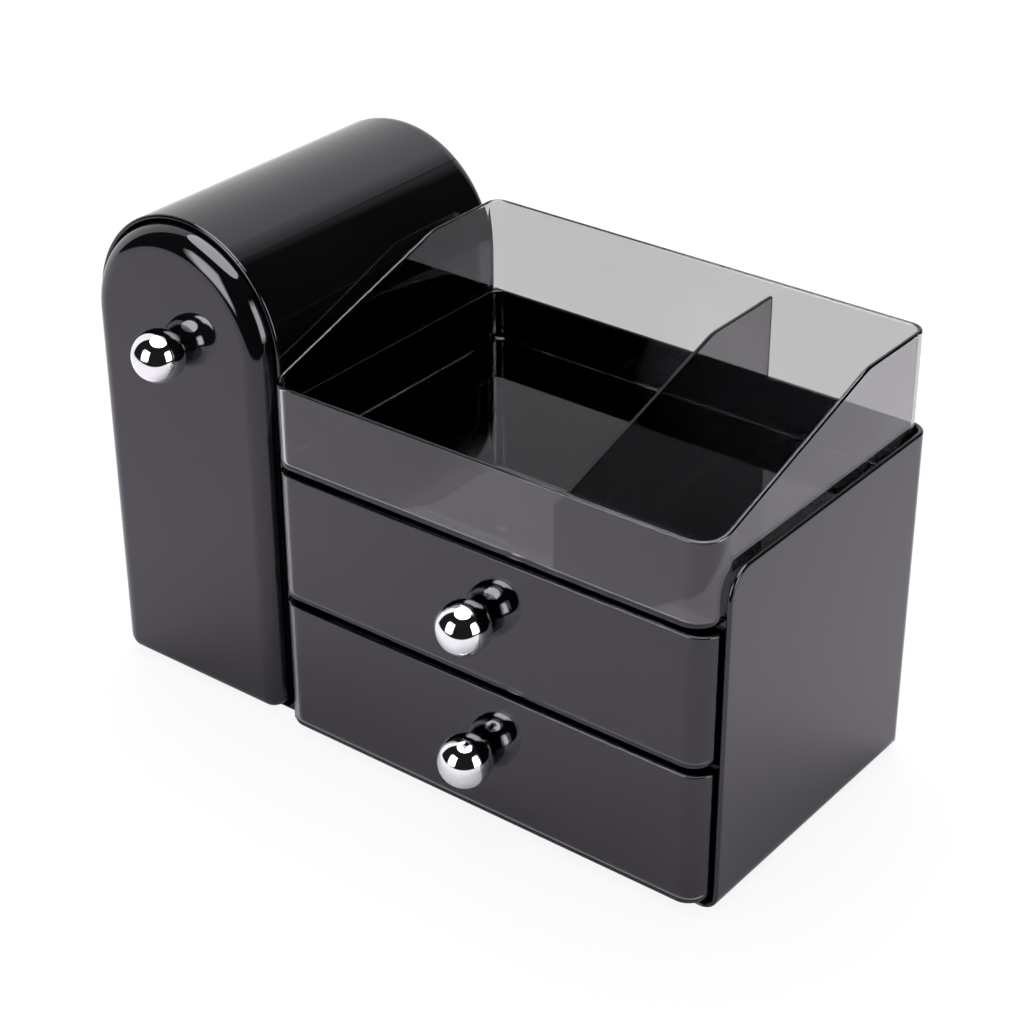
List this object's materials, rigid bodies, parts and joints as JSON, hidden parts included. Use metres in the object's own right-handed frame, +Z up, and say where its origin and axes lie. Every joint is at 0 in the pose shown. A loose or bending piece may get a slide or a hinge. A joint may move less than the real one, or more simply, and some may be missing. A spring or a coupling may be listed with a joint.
{
  "type": "dustproof makeup organizer",
  "caption": "Desk organizer with an arched tower whose front pulls out a brush caddy, beside a low cabinet with sliding drawers and a lift-out divided tray.",
  "frame": {"origin": "middle of the rectangle of floor that the whole object covers, knobs included, at the underside of the feet", "axes": "+X to the right from the tower to the cabinet, +Y to the back, +Z up; the drawer fronts face -Y"},
  "size_m": [0.31, 0.1658, 0.2126],
  "materials": {
    "black_shell": "polished black, opaque",
    "black_front": "polished black, opaque",
    "smoke_drawer": "polished smoke grey, slightly see-through",
    "smoke_tray": "polished smoke grey, see-through",
    "inner_black": "fine matt",
    "knob_chrome": "mirror chrome",
    "zinc_screw": "zinc plated",
    "foot_rubber": "matt"
  },
  "bodies": {
    "housing": {"tower_shell": "black_shell", "tower_back_panel": "black_shell", "back_panel_screws": "zinc_screw", "tower_drawer_stop": "inner_black", "cabinet_shell": "black_shell", "joining_rivets": "zinc_screw", "drawer_shelf": "black_shell", "tray_shelf": "black_shell", "upper_drawer_stop": "inner_black", "lower_drawer_stop": "inner_black", "tower_front_foot": "foot_rubber", "tower_back_foot": "foot_rubber", "middle_front_foot": "foot_rubber", "middle_back_foot": "foot_rubber", "cabinet_front_foot": "foot_rubber", "cabinet_back_foot": "foot_rubber"},
    "upper_drawer": {"upper_drawer": "smoke_drawer", "upper_drawer_knob": "knob_chrome", "upper_knob_screw": "zinc_screw"},
    "lower_drawer": {"lower_drawer": "smoke_drawer", "lower_drawer_knob": "knob_chrome", "lower_knob_screw": "zinc_screw"},
    "tower_drawer": {"tower_drawer_front": "black_front", "tower_knob": "knob_chrome", "tower_knob_screw": "zinc_screw", "brush_caddy": "inner_black", "caddy_long_divider": "inner_black", "caddy_cross_divider": "inner_black", "tower_front_screws": "zinc_screw"},
    "tray": {"tray": "smoke_tray"},
    "tray_divider": {"tray_divider": "smoke_tray"}
  },
  "joints": [
    {"name": "upper_drawer_slide", "type": "slide", "parent": "housing", "child": "upper_drawer", "axis": [0, -1, 0], "range_m": [0, 0.104]},
    {"name": "lower_drawer_slide", "type": "slide", "parent": "housing", "child": "lower_drawer", "axis": [0, -1, 0], "range_m": [0, 0.104]},
    {"name": "tower_drawer_slide", "type": "slide", "parent": "housing", "child": "tower_drawer", "axis": [0, -1, 0], "range_m": [0, 0.098]},
    {"name": "tray_lift", "type": "slide", "parent": "housing", "child": "tray", "axis": [0, 0, 1], "range_m": [0, 0.08]},
    {"name": "tray_divider_lift", "type": "slide", "parent": "tray", "child": "tray_divider", "axis": [0, 0, 1], "range_m": [0, 0.07]}
  ]
}
